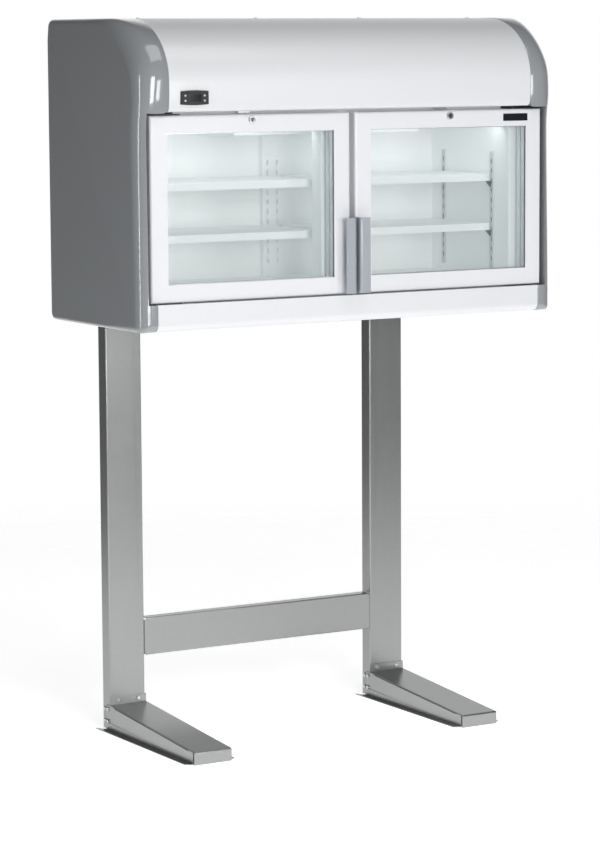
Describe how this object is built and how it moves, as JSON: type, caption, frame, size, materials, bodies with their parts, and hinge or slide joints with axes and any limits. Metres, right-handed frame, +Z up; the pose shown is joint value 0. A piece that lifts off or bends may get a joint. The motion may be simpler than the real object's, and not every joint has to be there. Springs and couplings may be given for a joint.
{
  "type": "over-freezer merchandiser cabinet",
  "caption": "Glass-door display freezer cabinet with moulded grey end caps and a curved canopy, hung on a galvanised floor stand so a chest freezer fits beneath.",
  "frame": {"origin": "on the floor under the middle of the object's bounding box", "axes": "+Z up, +X to the right when facing the doors, +Y from the doors to the back"},
  "size_m": [1.1924, 0.5494, 1.8157],
  "materials": {
    "cap_plastic": "smooth satin moulding",
    "white_sheet": "smooth gloss powder coat",
    "white_inner": "smooth powder coat",
    "white_profile": "satin extrusion",
    "foam": "closed cell",
    "galvanised": "spangled zinc",
    "zinc_screw": "bright zinc plate",
    "glass": "clear polished",
    "seal_rubber": "soft extrusion",
    "black_rubber": "moulded",
    "grey_aluminium": "anodised grey",
    "bare_aluminium": "mill finish",
    "black_metal": "semi-gloss paint",
    "black_plastic": "fine grain",
    "display_black": "polished",
    "button_white": "moulded",
    "lock_chrome": "polished",
    "copper": "drawn tube",
    "dark_plate": "smooth"
  },
  "bodies": {
    "cabinet": {"end_cap_left": "cap_plastic", "end_cap_right": "cap_plastic", "front_canopy": "white_sheet", "roof_panel": "white_sheet", "lower_shell": "white_sheet", "rear_panel": "galvanised", "rear_grille": "galvanised", "cord_grommet": "black_rubber", "face_frame": "white_inner", "inner_liner": "white_inner", "insulation": "foam", "centre_mullion": "white_inner", "side_uprights": "black_metal", "rear_column": "white_inner", "front_upright": "white_inner", "shelf_lower_left": "white_inner", "shelf_lower_right": "white_inner", "shelf_upper_left": "white_inner", "shelf_upper_right": "white_inner", "shelf_clips": "black_plastic", "hinge_brackets": "black_metal", "reveal_strips": "black_plastic", "lock_keepers": "zinc_screw", "controller_body": "black_plastic", "controller_display": "display_black", "compressor": "black_metal", "condenser": "bare_aluminium", "fan_motors": "black_plastic", "evaporator": "bare_aluminium", "evaporator_cover": "white_inner", "control_box": "galvanised", "pipework": "copper", "post_left": "galvanised", "post_right": "galvanised", "crossbar": "galvanised", "foot_base_left": "galvanised", "foot_base_right": "galvanised", "foot_covers": "galvanised", "stand_screws": "zinc_screw"},
    "door_left": {"door_frame_left": "white_profile", "door_panes_left": "glass", "pane_spacer_left": "bare_aluminium", "door_seal_left": "seal_rubber", "handle_left": "grey_aluminium", "lock_body_left": "lock_chrome"},
    "lock_left": {"lock_plug_left": "lock_chrome"},
    "door_right": {"door_frame_right": "white_profile", "door_panes_right": "glass", "pane_spacer_right": "bare_aluminium", "door_seal_right": "seal_rubber", "handle_right": "grey_aluminium", "lock_body_right": "lock_chrome", "badge_plate": "dark_plate"},
    "lock_right": {"lock_plug_right": "lock_chrome"},
    "button_1": {"controller_button_1": "button_white"},
    "button_2": {"controller_button_2": "button_white"},
    "button_3": {"controller_button_3": "button_white"},
    "button_4": {"controller_button_4": "button_white"},
    "condenser_fan": {"condenser_fan": "black_plastic"},
    "evaporator_fan": {"evaporator_fan": "black_plastic"}
  },
  "joints": [
    {"name": "door_left_hinge", "type": "hinge", "parent": "cabinet", "child": "door_left", "pos_m": [-0.54575, -0.22675, 1.3615], "axis": [0, 0, -1], "range_deg": [0, 100]},
    {"name": "door_right_hinge", "type": "hinge", "parent": "cabinet", "child": "door_right", "pos_m": [0.54575, -0.22675, 1.3615], "axis": [0, 0, 1], "range_deg": [0, 100]},
    {"name": "lock_left_turn", "type": "hinge", "parent": "door_left", "child": "lock_left", "pos_m": [-0.2845, -0.22675, 1.5705], "axis": [0, -1, 0], "range_deg": [0, 90]},
    {"name": "lock_right_turn", "type": "hinge", "parent": "door_right", "child": "lock_right", "pos_m": [0.2845, -0.22675, 1.5705], "axis": [0, 1, 0], "range_deg": [0, 90]},
    {"name": "button_1_press", "type": "slide", "parent": "cabinet", "child": "button_1", "axis": [0, 1, 0], "range_m": [0, 0.0008], "stiffness_N_per_m": 400},
    {"name": "button_2_press", "type": "slide", "parent": "cabinet", "child": "button_2", "axis": [0, 1, 0], "range_m": [0, 0.0008], "stiffness_N_per_m": 400},
    {"name": "button_3_press", "type": "slide", "parent": "cabinet", "child": "button_3", "axis": [0, 1, 0], "range_m": [0, 0.0008], "stiffness_N_per_m": 400},
    {"name": "button_4_press", "type": "slide", "parent": "cabinet", "child": "button_4", "axis": [0, 1, 0], "range_m": [0, 0.0008], "stiffness_N_per_m": 400},
    {"name": "condenser_fan_spin", "type": "hinge", "parent": "cabinet", "child": "condenser_fan", "pos_m": [0.04, 0.07, 1.7092], "axis": [0, 1, 0], "continuous": true},
    {"name": "evaporator_fan_spin", "type": "hinge", "parent": "cabinet", "child": "evaporator_fan", "pos_m": [0.262, 0.06825, 1.545], "axis": [0, 0, 1], "continuous": true}
  ]
}
